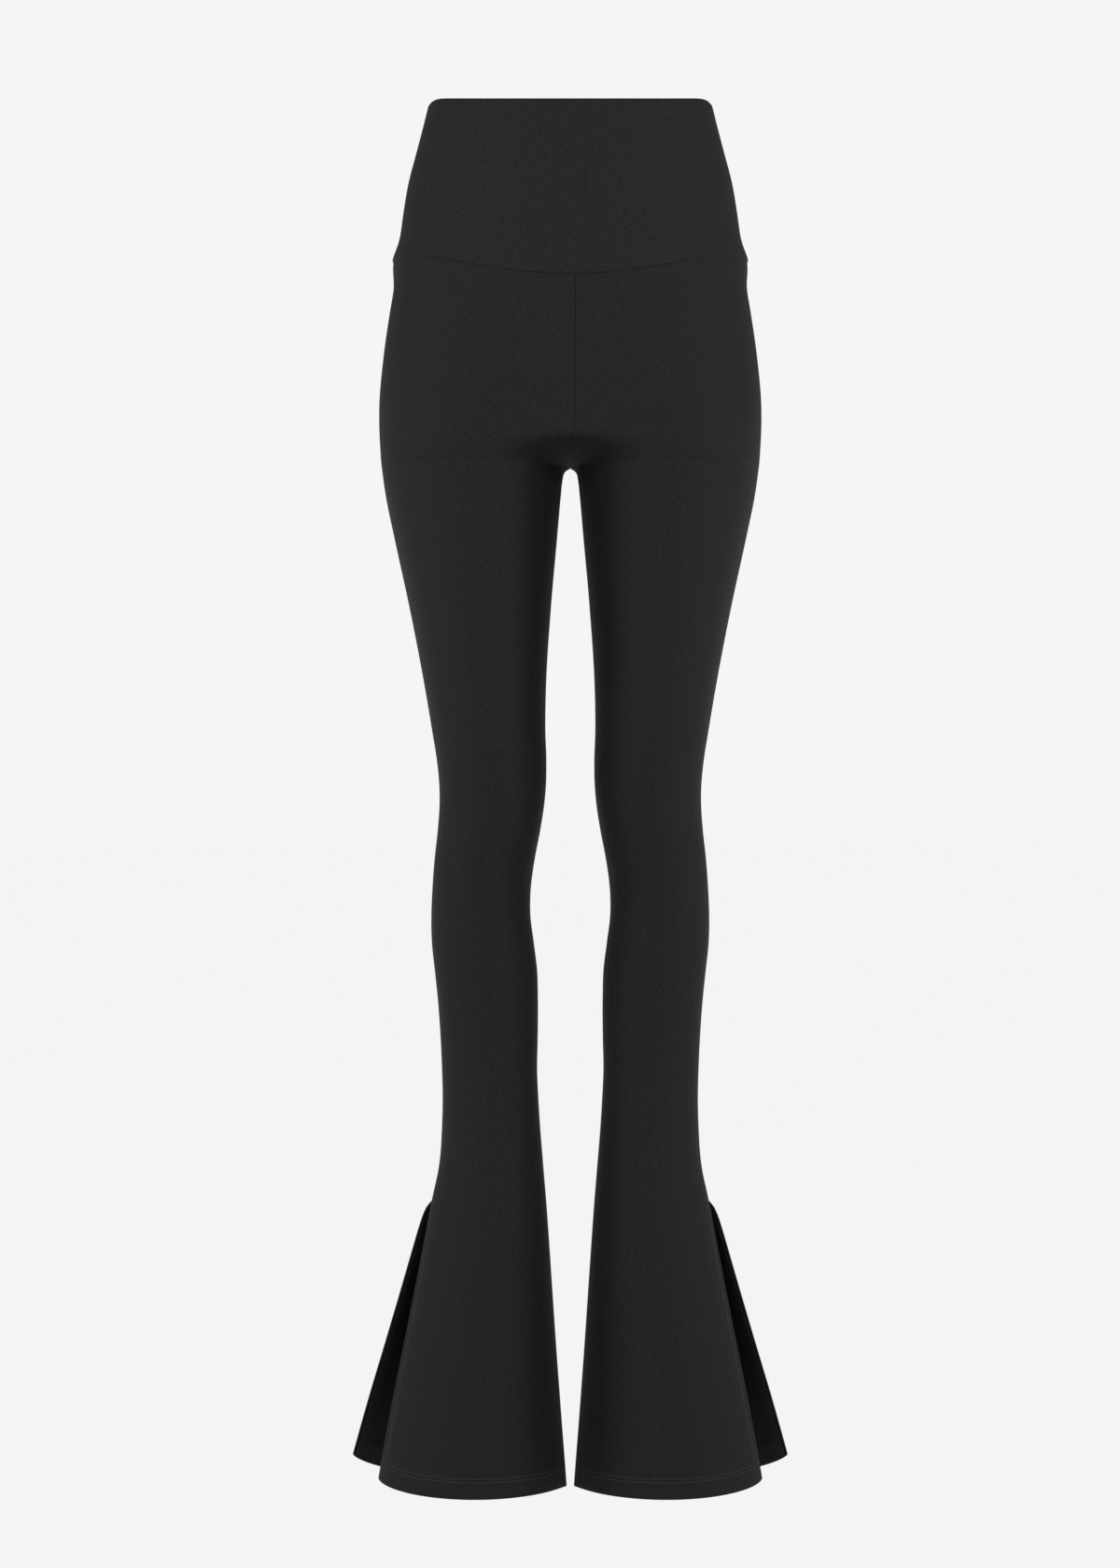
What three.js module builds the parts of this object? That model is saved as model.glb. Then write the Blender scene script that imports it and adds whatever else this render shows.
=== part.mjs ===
// Flared leggings with a high waist, modelled hollow, as they stand when they are worn.
// A wide waistband, folded double, is sewn to two front and two back leg panels in one layer of stretch jersey.
// The panels meet at the centre seams, side seams and inseams, and each outer seam ends in an open slit at the flare.
//
// Millimetres. +X is the wearer's left, -Y the front, +Z up. The origin is the middle of the waist opening.
import * as THREE from "three";

// The cloth
const JERSEY = 1.4; // one layer of the stretch jersey
const BAND = 2.6; // the waistband, two layers
const HEM = 2.6; // the turned hems, two layers
const SEAM_GAP = 0.3; // between neighbouring panels

// Heights, measured down from the waist opening
const WAIST_SEAM = 129; // at the side seams
const SLIT_TOP = 914;
const CROTCH = 302;
const FRONT_DIP = 21.3; // how much lower the waist seam is at the centre front
const BACK_DIP = 10;
const DIP_SHARE = 0.88; // the seam dips over this share of the half width
const TOP_EDGE = { front: { crown: 7.3, slope: 0.157 }, back: { crown: 3, slope: 0.03 }, corner: 40 };
const HEM_DEPTH = 15; // from the fold to the stitching
const SLIT_HEM = 18;

// The crotch: over it the two legs' sections grow together, until the front or back is flat at this height
// above it. The crest of each leg's section moves to the middle of the body over a longer way.
const RISE = { front: 24, back: 120, ease: 1.5, crest: 230 };
const ARCH_RADIUS = 8;
const SEAM_LEAN = { top: 4.2, bottom: 3, ends: 30, fades: 12 }; // how far the centre front seam sits off centre

// The half section at each height: where the side seam and the inseam lie, the line between front and back,
// how far the front and back stand out from that line, and how the curve of the section is rounded.
// Over the crotch the section runs to the middle of the body, so it has no inseam.
const COLUMNS = ["drop", "side", "inseam", "middle", "front", "back", "square", "round"];
const SECTIONS = [
  [-16, 115, 0, 0, 80, 80, 2.3, 0.5],
  [12, 121.6, 0, 0, 84, 84, 2.3, 0.5],
  [35, 127.6, 0, 1, 89, 87, 2.3, 0.5],
  [66, 135.6, 0, 2, 95, 91, 2.3, 0.5],
  [90, 139.4, 0, 3, 99, 95, 2.3, 0.5],
  [113, 142.8, 0, 4, 103, 99, 2.3, 0.5],
  [129, 147.8, 0, 4, 105, 102, 2.3, 0.5],
  [152, 147.4, 0, 5, 107, 106, 2.3, 0.5],
  [168, 149.6, 0, 5, 107, 110, 2.3, 0.5],
  [207, 155.8, 0, 6, 107, 118, 2.3, 0.5],
  [253, 159.9, 0, 6, 106, 122, 2.25, 0.5],
  [285, 159, 0, 6, 104, 118, 2.2, 0.5],
  [302, 157.6, 0, 6, 103, 113, 2.2, 0.5],
  [305, 157.2, 4, 6, 103, 112, 2.2, 0.5],
  [312, 156.3, 5.9, 6, 102, 109, 2.2, 0.5],
  [324, 154.5, 7.8, 6, 101, 105, 2.2, 0.5],
  [359, 147.3, 10.9, 4, 97, 94, 2.2, 0.5],
  [417, 134.6, 16, 0, 88, 80, 2.1, 0.5],
  [487, 121, 20.3, -6, 75, 68, 2.1, 0.5],
  [523, 114.9, 20.7, -9, 68, 61, 2.1, 0.5],
  [546, 111.2, 19.9, -10, 64, 57, 2.1, 0.5],
  [569, 109.1, 20.4, -10, 60, 53, 2.1, 0.5],
  [581, 109, 21.5, -9, 59, 52, 2.1, 0.5],
  [604, 110.6, 25, -7, 57, 53, 2.1, 0.5],
  [628, 113.3, 29.6, -4, 55, 55, 2.1, 0.5],
  [651, 115.1, 32.8, -1, 54, 56, 2.1, 0.5],
  [675, 116.2, 33.3, 2, 54, 56, 2.1, 0.5],
  [698, 115.8, 30.5, 3, 53, 55, 2.1, 0.5],
  [721, 113.4, 27.7, 4, 52, 54, 2.1, 0.5],
  [745, 110.9, 27, 4, 50, 52, 2.1, 0.5],
  [780, 108.4, 27.2, 4, 48, 48, 2.1, 0.5],
  [803, 107.4, 27.7, 4, 48, 47, 2.05, 0.51],
  [827, 106.8, 26.7, 4, 49, 47, 2, 0.53],
  [850, 107.3, 25.3, 4, 50, 48, 2, 0.55],
  [885, 109.9, 22.5, 4, 53, 51, 2, 0.58],
  [914, 116, 20.1, 4, 56, 55, 2, 0.6],
  [940, 121, 18.2, 4, 58, 56, 2, 0.61],
  [987, 130, 15, 4, 62, 56, 2, 0.64],
  [1034, 139.3, 11.8, 4, 66, 54, 2, 0.66],
  [1080, 148.6, 8.4, 4, 69, 51, 2, 0.68],
  [1148, 160.8, 3.2, 4, 73, 46, 2, 0.7],
  [1180, 166, 1.2, 4, 74, 44, 2, 0.7],
];

// Below the slit the front edge falls a little forwards. The back panel swings out and back,
// and its edge springs a little further at once.
const SLIT = { forward: 0.05, out: 0.097, away: 0.06, springOut: 4.6, springAway: 1, springsIn: 6, springWide: 5 };

// The hems: the lowest line of each panel. The back one is cut up in a curve towards the slit.
const FRONT_HEM = { inseam: 1152.9, slit: 1145.8, belly: 2.4, corner: 1, cornerPower: 16 };
const BACK_HEM = { inseam: 1152.4, slit: 1152.4, belly: 4, corner: 24, cornerPower: 3.6 };

// The nets: how many columns a panel has, and how many rows run down to each height
const LEG_COLUMNS = 12;
const BAND_COLUMNS = 24;
const BAND_ROWS = [0, 0.03, 0.2, 0.4, 0.6, 0.8, 0.92, 1];
const LEG_SPANS = [
  { to: 227, rows: 4 },
  { to: CROTCH, rows: 6 },
  { to: 377, rows: 6 },
  { to: 545, rows: 5 },
  { to: 605, rows: 3 },
  { to: 745, rows: 6 },
  { to: 850, rows: 3 },
  { to: 900, rows: 2 },
  { to: SLIT_TOP, rows: 1 },
];
const FLARE_ROWS = [0.02, 0.05, 0.11, 0.22, 0.38, 0.55, 0.72, 0.86];
const LEVEL_BY = 227; // the rows follow the waist seam's curve, and are level again at this height
const ARC_POINTS = 90; // of a section, before it is divided evenly
const STEP = 0.4; // for the slopes that give the wall its direction

const OUTER_COLOUR = 0x262626;
const BAND_COLOUR = 0x282828;

const table = new THREE.CubicInterpolant(
  SECTIONS.map((row) => row[0]),
  SECTIONS.flatMap((row) => {
    const [, side, inseam, ...rest] = row;
    return [Math.hypot(side, ARCH_RADIUS), Math.hypot(inseam, ARCH_RADIUS), ...rest];
  }),
  COLUMNS.length - 1,
  new Float64Array(COLUMNS.length - 1),
);

// The sizes of the half section at one height. side and inseam are still those of two separate legs,
// which the arch joins.
function sizesAt(drop) {
  const row = table.evaluate(drop);
  return Object.fromEntries(COLUMNS.slice(1).map((name, i) => [name, row[i]]));
}

// Where the outer edge of the front or back lies at a height: the two are one side seam above the slit.
function edgeOf(half, drop, size) {
  const below = Math.max(0, drop - SLIT_TOP);
  if (half === "front") return { side: size.side, depth: size.middle - SLIT.forward * below };
  return { side: size.side + SLIT.out * below, depth: size.middle + SLIT.away * below };
}

// How far the back panel's edge has sprung out at a height, as a share
function sprung(half, drop) {
  if (half === "front" || drop < SLIT_TOP) return 0;
  return 1 - Math.exp((SLIT_TOP - drop) / SLIT.springsIn);
}

const arcs = new Map();

// One half section of the left side, front or back, from the middle or the inseam out to the side seam:
// its points, and the length along it to each point.
function arcAt(half, drop) {
  const key = `${half} ${drop.toFixed(4)}`;
  if (arcs.has(key)) return arcs.get(key);
  const size = sizesAt(drop);
  const edge = edgeOf(half, drop, size);
  const height = Math.max(0, CROTCH - drop);
  const parted = Math.max(0, 1 - Math.pow(height / RISE[half], RISE.ease));
  const inner = drop >= CROTCH ? size.inseam : ARCH_RADIUS;
  const crest = ((edge.side + inner) / 2) * (1 - THREE.MathUtils.smoothstep(height, 0, RISE.crest));
  const spring = sprung(half, drop);
  const out = half === "front" ? -size.front : size.back;
  const points = [];
  const lengths = [0];
  for (let i = 0; i <= ARC_POINTS; i++) {
    const share = (1 - Math.cos((Math.PI * i) / ARC_POINTS)) / 2;
    const wide = THREE.MathUtils.lerp(inner, edge.side, share);
    const fall = wide < crest ? (parted * (crest - wide)) / (crest - inner) : (wide - crest) / (edge.side - crest);
    const bulge = Math.pow(Math.max(0, 1 - Math.pow(fall, size.square)), size.round);
    const line = THREE.MathUtils.lerp(size.middle, edge.depth, share);
    const loose = spring * Math.pow(share, SLIT.springWide);
    points.push([
      Math.sqrt(Math.max(0, wide * wide - ARCH_RADIUS * ARCH_RADIUS)) + SLIT.springOut * loose,
      line + out * bulge + SLIT.springAway * loose,
    ]);
    if (i > 0) {
      const [[ax, ay], [bx, by]] = points.slice(-2);
      lengths.push(lengths[i - 1] + Math.hypot(bx - ax, by - ay));
    }
  }
  const arc = { points, lengths, total: lengths[ARC_POINTS] };
  arcs.set(key, arc);
  return arc;
}

// The point of the outer surface at a length along the section. A length below 0 crosses the middle.
function surface(half, along, drop) {
  const { points, lengths, total } = arcAt(half, drop);
  const far = THREE.MathUtils.clamp(Math.abs(along), 0, total);
  let low = 0;
  let high = ARC_POINTS;
  while (high - low > 1) {
    const mid = (low + high) >> 1;
    if (lengths[mid] <= far) low = mid;
    else high = mid;
  }
  const share = (far - lengths[low]) / (lengths[high] - lengths[low] || 1);
  const x = THREE.MathUtils.lerp(points[low][0], points[high][0], share);
  const y = THREE.MathUtils.lerp(points[low][1], points[high][1], share);
  return new THREE.Vector3(along < 0 ? -x : x, y, -drop);
}

// The direction out of the cloth there
function outward(half, along, drop) {
  const total = arcAt(half, drop).total;
  const across = surface(half, Math.min(total, along + STEP), drop).sub(
    surface(half, Math.max(along - STEP, drop >= CROTCH ? 0 : -total), drop),
  );
  const share = along / total;
  const above = surface(half, share * arcAt(half, drop - STEP).total, drop - STEP);
  const below = surface(half, share * arcAt(half, drop + STEP).total, drop + STEP);
  const normal = across.cross(above.sub(below)).normalize();
  return half === "front" ? normal : normal.negate();
}

// Closes a net of outer and inner points, [row][column], into one solid wall.
function wall(outer, inner) {
  const rows = outer.length;
  const columns = outer[0].length;
  const position = [...outer.flat(), ...inner.flat()].flatMap((p) => p.toArray());
  const index = [];
  const skin = rows * columns;
  const quad = (a, b, c, d) => index.push(a, b, c, a, c, d);
  for (let r = 0; r + 1 < rows; r++) {
    for (let c = 0; c + 1 < columns; c++) {
      const [a, b] = [r * columns + c, r * columns + c + 1];
      quad(a, a + columns, b + columns, b);
      quad(skin + a, skin + b, skin + b + columns, skin + a + columns);
    }
  }
  const rim = [];
  for (let c = 0; c < columns; c++) rim.push(c);
  for (let r = 1; r < rows; r++) rim.push(r * columns + columns - 1);
  for (let c = columns - 2; c >= 0; c--) rim.push((rows - 1) * columns + c);
  for (let r = rows - 2; r > 0; r--) rim.push(r * columns);
  rim.forEach((a, i) => {
    const b = rim[(i + 1) % rim.length];
    quad(a, b, skin + b, skin + a);
  });
  const geometry = new THREE.BufferGeometry();
  geometry.setAttribute("position", new THREE.Float32BufferAttribute(position, 3));
  geometry.setIndex(index);
  return geometry;
}

function turnedOver(geometry) {
  const index = geometry.getIndex();
  for (let i = 0; i < index.count; i += 3) {
    const kept = index.getX(i + 1);
    index.setX(i + 1, index.getX(i + 2));
    index.setX(i + 2, kept);
  }
  return geometry;
}

function mirrored(geometry) {
  geometry.scale(-1, 1, 1);
  return turnedOver(geometry);
}

// The drop of the waist seam at a share of the way round to the side seam
function waistSeam(half, u) {
  const level = surface(half, u * arcAt(half, WAIST_SEAM).total, WAIST_SEAM);
  const inside = Math.max(0, 1 - Math.pow(level.x / (DIP_SHARE * sizesAt(WAIST_SEAM).side), 2));
  return WAIST_SEAM + (half === "front" ? FRONT_DIP : BACK_DIP) * Math.pow(inside, 1.25);
}

// The drop of the top edge. It lies in a slope, highest at the back, and its corners round off to the side seams.
function topEdge(half, u) {
  const level = surface(half, u * arcAt(half, 0).total, 0);
  const corner = Math.pow(Math.abs(level.x) / sizesAt(0).side, TOP_EDGE.corner);
  return TOP_EDGE[half].crown * (corner - 1) - TOP_EDGE[half].slope * level.y;
}

// The drop of the hem at a share of the way from the inseam to the slit
function hemDrop(half, u) {
  const hem = half === "front" ? FRONT_HEM : BACK_HEM;
  const straight = THREE.MathUtils.lerp(hem.inseam, hem.slit, u);
  return straight + 4 * hem.belly * u * (1 - u) - hem.corner * Math.pow(u, hem.cornerPower);
}

// Half of the waistband all round the front or the back, from side seam to side seam
function waistbandPanel(half) {
  const outer = [];
  const inner = [];
  for (const v of BAND_ROWS) {
    const outerRow = [];
    const innerRow = [];
    for (let c = 0; c <= BAND_COLUMNS; c++) {
      const u = (2 * c) / BAND_COLUMNS - 1;
      const seam = waistSeam(half, u) - SEAM_GAP / 2;
      const drop = THREE.MathUtils.lerp(topEdge(half, u), seam, v);
      const along = u * (arcAt(half, drop).total - SEAM_GAP / 2);
      const point = surface(half, along, drop);
      const direction = outward(half, along, drop);
      outerRow.push(point);
      innerRow.push(point.clone().addScaledVector(direction, -BAND));
    }
    outer.push(outerRow);
    inner.push(innerRow);
  }
  return half === "front" ? wall(outer, inner) : turnedOver(wall(outer, inner));
}

// The rows of a leg panel over the slit, as drops at the side seam
function legRows() {
  const rows = [WAIST_SEAM];
  for (const span of LEG_SPANS) {
    const from = rows.at(-1);
    for (let i = 1; i <= span.rows; i++) rows.push(THREE.MathUtils.lerp(from, span.to, i / span.rows));
  }
  return rows;
}

// Near the crotch the rows crowd together at the inner edge, where the cloth turns under
function crowded(drop) {
  const away = drop - CROTCH;
  const reach = RISE.front;
  if (Math.abs(away) >= reach) return drop;
  return CROTCH + Math.sign(away) * reach * (1 - Math.cos((Math.PI * Math.abs(away)) / (2 * reach)));
}

// How far the centre front seam sits off the middle
function seamLean(drop) {
  const share = (drop - WAIST_SEAM) / (CROTCH - WAIST_SEAM);
  const fade = THREE.MathUtils.smoothstep(CROTCH - drop, SEAM_LEAN.fades, SEAM_LEAN.ends);
  return THREE.MathUtils.lerp(SEAM_LEAN.top, SEAM_LEAN.bottom, share) * fade;
}

// Keeps the four panels apart where they meet under the crotch
function keptApart(point, half, drop) {
  const near = Math.abs(drop - CROTCH) < SEAM_LEAN.fades;
  if (near) point.x = Math.max(point.x, SEAM_GAP / 2);
  if (drop >= CROTCH - SEAM_GAP) {
    const middle = sizesAt(drop).middle;
    if (half === "front") point.y = Math.min(point.y, middle - SEAM_GAP / 2);
    else point.y = Math.max(point.y, middle + SEAM_GAP / 2);
  }
  return point;
}

// A leg panel of the left side. lean moves its centre seam towards the side seam.
function legPanel(half, lean) {
  const outer = [];
  const inner = [];
  const addRow = (dropOf, isHem, inFlare) => {
    const outerRow = [];
    const innerRow = [];
    for (let c = 0; c <= LEG_COLUMNS; c++) {
      const drop = dropOf(c / LEG_COLUMNS);
      const from = SEAM_GAP / 2 + (drop < CROTCH ? lean * seamLean(drop) : 0);
      const to = arcAt(half, drop).total - SEAM_GAP / 2;
      const even = (to - from) / LEG_COLUMNS;
      const margin = inFlare ? SLIT_HEM : even;
      const last = c === LEG_COLUMNS;
      const along = last ? to : from + ((to - margin - from) * c) / (LEG_COLUMNS - 1);
      const point = surface(half, along, drop);
      const thick = isHem || (inFlare && last) ? HEM : JERSEY;
      const back = point.clone().addScaledVector(outward(half, along, drop), -thick);
      outerRow.push(keptApart(point, half, drop));
      innerRow.push(keptApart(back, half, drop));
    }
    outer.push(outerRow);
    inner.push(innerRow);
  };
  const shift = (lean * SEAM_LEAN.top) / arcAt(half, WAIST_SEAM).total;
  for (const drop of legRows()) {
    const follow = Math.max(0, 1 - (drop - WAIST_SEAM) / (LEVEL_BY - WAIST_SEAM));
    addRow((u) => {
      const seam = waistSeam(half, THREE.MathUtils.lerp(shift, 1, u)) + SEAM_GAP / 2;
      const bent = drop + (seam - WAIST_SEAM) * follow;
      return THREE.MathUtils.lerp(crowded(bent), bent, u);
    });
  }
  for (const share of FLARE_ROWS) addRow((u) => THREE.MathUtils.lerp(SLIT_TOP, hemDrop(half, u), share), false, true);
  addRow((u) => hemDrop(half, u) - HEM_DEPTH - 1, false, true);
  addRow((u) => hemDrop(half, u) - HEM_DEPTH, true, true);
  addRow((u) => hemDrop(half, u), true, true);
  return half === "front" ? wall(outer, inner) : turnedOver(wall(outer, inner));
}

function cloth(name, geometry, color) {
  const material = new THREE.MeshStandardMaterial({ color, roughness: 0.95, metalness: 0 });
  const mesh = new THREE.Mesh(geometry, material);
  mesh.name = name;
  return mesh;
}

const leggings = new THREE.Group();
leggings.add(
  cloth("waistband_front", waistbandPanel("front"), BAND_COLOUR),
  cloth("waistband_back", waistbandPanel("back"), BAND_COLOUR),
  cloth("left_front_leg", legPanel("front", 1), OUTER_COLOUR),
  cloth("left_back_leg", legPanel("back", 0), OUTER_COLOUR),
  cloth("right_front_leg", mirrored(legPanel("front", -1)), OUTER_COLOUR),
  cloth("right_back_leg", mirrored(legPanel("back", 0)), OUTER_COLOUR),
);

export default leggings;
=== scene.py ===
# %% [markdown]
# # A pair of flared leggings
# This lesson dresses the plain model of a pair of high-waisted leggings with slit flares. The cloth is a fine,
# firm stretch jersey in a charcoal black. The garment is shown filled out and hollow, as it stands when worn.
# Every panel that a maker cuts becomes one sheet of cloth, laid over the form with real edges, seams and hems.

# %% Load the frame
import math
import bpy
import numpy as np
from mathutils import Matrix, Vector


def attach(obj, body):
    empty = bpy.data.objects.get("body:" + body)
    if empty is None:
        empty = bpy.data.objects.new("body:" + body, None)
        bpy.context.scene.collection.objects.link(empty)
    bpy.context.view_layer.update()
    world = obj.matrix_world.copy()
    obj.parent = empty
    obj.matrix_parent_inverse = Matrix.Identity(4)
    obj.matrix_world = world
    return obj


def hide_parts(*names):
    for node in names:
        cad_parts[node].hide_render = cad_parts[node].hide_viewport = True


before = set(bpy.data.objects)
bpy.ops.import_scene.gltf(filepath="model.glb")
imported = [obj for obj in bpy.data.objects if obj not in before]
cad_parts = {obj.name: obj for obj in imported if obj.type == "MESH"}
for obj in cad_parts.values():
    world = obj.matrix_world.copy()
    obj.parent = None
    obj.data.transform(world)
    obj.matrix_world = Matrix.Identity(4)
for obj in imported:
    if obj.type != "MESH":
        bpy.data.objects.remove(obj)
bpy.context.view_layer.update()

# %% [markdown]
# ## The camera
# A catalogue picture of trousers is taken level, from half their height and several steps back, so that the
# waist and the hems look equally flat. The lens is long, and the picture is upright.

# %% Place the camera
CAMERA_DISTANCE = 3.64
CAMERA_SIDE = -0.0086
CAMERA_HEIGHT = -0.5655
LENS_MM = 100
FILM_MM = 36
FARTHEST = 200

camera_place = (CAMERA_SIDE, -CAMERA_DISTANCE, CAMERA_HEIGHT)
bpy.ops.object.select_all(action="DESELECT")
bpy.ops.object.camera_add(location=camera_place, rotation=(math.pi / 2, 0, 0))
camera = bpy.context.object
camera.name = "catalogue_camera"
camera.data.lens = LENS_MM
camera.data.sensor_width = FILM_MM
camera.data.clip_end = FARTHEST
bpy.context.scene.camera = camera
print("camera stands at", camera_place)

# %% [markdown]
# ## The form that the cloth lies on
# The shape is told by half sections, one for each height. A row gives, in millimetres, how far down it is, where
# the side seam and the inseam lie, the line between front and back, how far front and back stand out from it,
# and how the curve is rounded. A short table like this is easier to read and to change than a sculpted mesh.

# %% The sections
MM = 0.001
COLUMNS = ("drop", "side", "inseam", "middle", "front", "back", "square", "round")
SECTIONS = (
    (-16, 113.8, 0, 0, 80, 80, 2.3, 0.5),
    (12, 120.5, 0, 0, 84, 84, 2.3, 0.5),
    (35, 126.5, 0, 1, 89, 87, 2.3, 0.5),
    (66, 134.6, 0, 2, 95, 91, 2.3, 0.5),
    (90, 138.6, 0, 3, 99, 95, 2.3, 0.5),
    (113, 142.3, 0, 4, 103, 99, 2.3, 0.5),
    (129, 147.8, 0, 4, 105, 102, 2.3, 0.5),
    (152, 147.8, 0, 5, 107, 106, 2.3, 0.5),
    (168, 150.4, 0, 5, 107, 110, 2.3, 0.5),
    (207, 156.1, 0, 6, 107, 118, 2.3, 0.5),
    (253, 159.9, 0, 6, 106, 122, 2.25, 0.5),
    (285, 159, 0, 6, 104, 118, 2.2, 0.5),
    (302, 157.6, 0, 6, 103, 113, 2.2, 0.5),
    (303.2, 157.4, 3.3, 6, 103, 112.6, 2.2, 0.5),
    (305, 157.2, 4.8, 6, 103, 112, 2.2, 0.5),
    (312, 156.3, 6.5, 6, 102, 109, 2.2, 0.5),
    (324, 154.5, 7.8, 6, 101, 105, 2.2, 0.5),
    (359, 147.3, 10.9, 4, 97, 94, 2.2, 0.5),
    (417, 134.6, 16, 0, 88, 80, 2.1, 0.5),
    (487, 121, 20.3, -6, 75, 68, 2.1, 0.5),
    (523, 114.9, 20.7, -9, 68, 61, 2.1, 0.5),
    (546, 111.2, 19.9, -10, 64, 57, 2.1, 0.5),
    (569, 109.1, 20.4, -10, 60, 53, 2.1, 0.5),
    (581, 109, 21.5, -9, 59, 52, 2.1, 0.5),
    (604, 110.6, 25, -7, 57, 53, 2.1, 0.5),
    (628, 113.3, 29.6, -4, 55, 55, 2.1, 0.5),
    (651, 115.1, 32.8, -1, 54, 56, 2.1, 0.5),
    (675, 116.2, 33.3, 2, 54, 56, 2.1, 0.5),
    (698, 115.8, 30.5, 3, 53, 55, 2.1, 0.5),
    (721, 113.4, 27.7, 4, 52, 54, 2.1, 0.5),
    (745, 110.9, 27, 4, 50, 52, 2.1, 0.5),
    (780, 108.4, 27.2, 4, 48, 48, 2.1, 0.5),
    (803, 107.4, 27.7, 4, 48, 47, 2.05, 0.51),
    (827, 106.8, 26.7, 4, 49, 47, 2, 0.53),
    (850, 107.3, 25.3, 4, 50, 48, 2, 0.55),
    (885, 109.9, 22.5, 4, 53, 51, 2, 0.58),
    (914, 116, 20.1, 4, 56, 55, 2, 0.6),
    (940, 121, 18.2, 4, 58, 56, 2, 0.61),
    (987, 130, 15, 4, 62, 56, 2, 0.64),
    (1034, 139.3, 11.8, 4, 66, 54, 2, 0.66),
    (1080, 148.6, 8.4, 4, 69, 51, 2, 0.68),
    (1148, 160.8, 3.2, 4, 73, 46, 2, 0.7),
    (1180, 166, 1.2, 4, 74, 44, 2, 0.7),
)
WAIST_SEAM = 129
SLIT_TOP = 914
CROTCH = 302
ARCH_RADIUS = 8
RISE = {"front": 24, "back": 120, "ease": 1.5, "crest": 230}
SLIT = {
    "forward": 0.05, "out": 0.097, "away": 0.06,
    "spring_out": 4.6, "spring_away": 1, "springs_in": 6, "wide": 5,
}
SEAM_DIP = {"front": 21.3, "back": 10, "share": 0.88}
TOP_EDGE = {"front": (7, 0.163), "back": (4, 0.04), "corner": 36}
HEM = {"front": (1152.9, 1145.8, 2.4, 1, 16), "back": (1152.4, 1152.4, 4, 24, 3.6)}
SEAM_LEAN = {"top": 4.2, "bottom": 3, "ends": 30, "fades": 12}
SEAM_GAP = 0.01
print("sections:", len(SECTIONS))

# %% [markdown]
# Between the rows a smooth curve is needed, because a corner in a column would show as a ring round the leg.
# Each column is drawn as a cubic through its points and then blurred a little, as cloth rounds off what it covers.

# %% Draw the sections at every millimetre
LEVELS = np.arange(-24.0, 1190.0)
BLUR = {"side": 2.2, "inseam": 0.7}
OTHER_BLUR = 5


def smooth_step(x):
    x = np.clip(x, 0, 1)
    return x * x * (3 - 2 * x)


def smooth_column(heights, values, blur):
    """The column's value at each level: a cubic through the points, blurred over a few millimetres."""
    steps = np.diff(heights)
    slopes = np.diff(values) / steps
    inside = (steps[1:] * slopes[:-1] + steps[:-1] * slopes[1:]) / (steps[1:] + steps[:-1])
    tangents = np.concatenate([slopes[:1], inside, slopes[-1:]])
    levels = np.clip(LEVELS, heights[0], heights[-1])
    left = np.clip(np.searchsorted(heights, levels, side="right") - 1, 0, len(steps) - 1)
    h = steps[left]
    t = (levels - heights[left]) / h
    start = (1 + 2 * t) * (1 - t) ** 2 * values[left] + t * (1 - t) ** 2 * h * tangents[left]
    end = t * t * (3 - 2 * t) * values[left + 1] + t * t * (t - 1) * h * tangents[left + 1]
    drawn = start + end + slopes[0] * (LEVELS - levels) * (LEVELS < heights[0])
    reach = int(4 * blur)
    bell = np.exp(-0.5 * (np.arange(-reach, reach + 1) / blur) ** 2)
    padded = np.concatenate([np.full(reach, drawn[0]), drawn, np.full(reach, drawn[-1])])
    return np.convolve(padded, bell / bell.sum(), mode="valid")


table = np.array(SECTIONS, dtype=float)
section = {}
for column, name in enumerate(COLUMNS[1:], start=1):
    values = table[:, column]
    if name in ("side", "inseam"):
        values = np.hypot(values, ARCH_RADIUS)
    section[name] = smooth_column(table[:, 0], values, BLUR.get(name, OTHER_BLUR))
print("levels drawn:", len(LEVELS))

# %% [markdown]
# One half section runs from the middle of the body, or from the inseam, out to the side seam. Over the crotch the
# two legs' sections grow together. Points are then spread evenly along the curve, so that the cloth's own
# grain can be followed along it.

# %% Lay out the half sections
ARC_STEPS = 256


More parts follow.
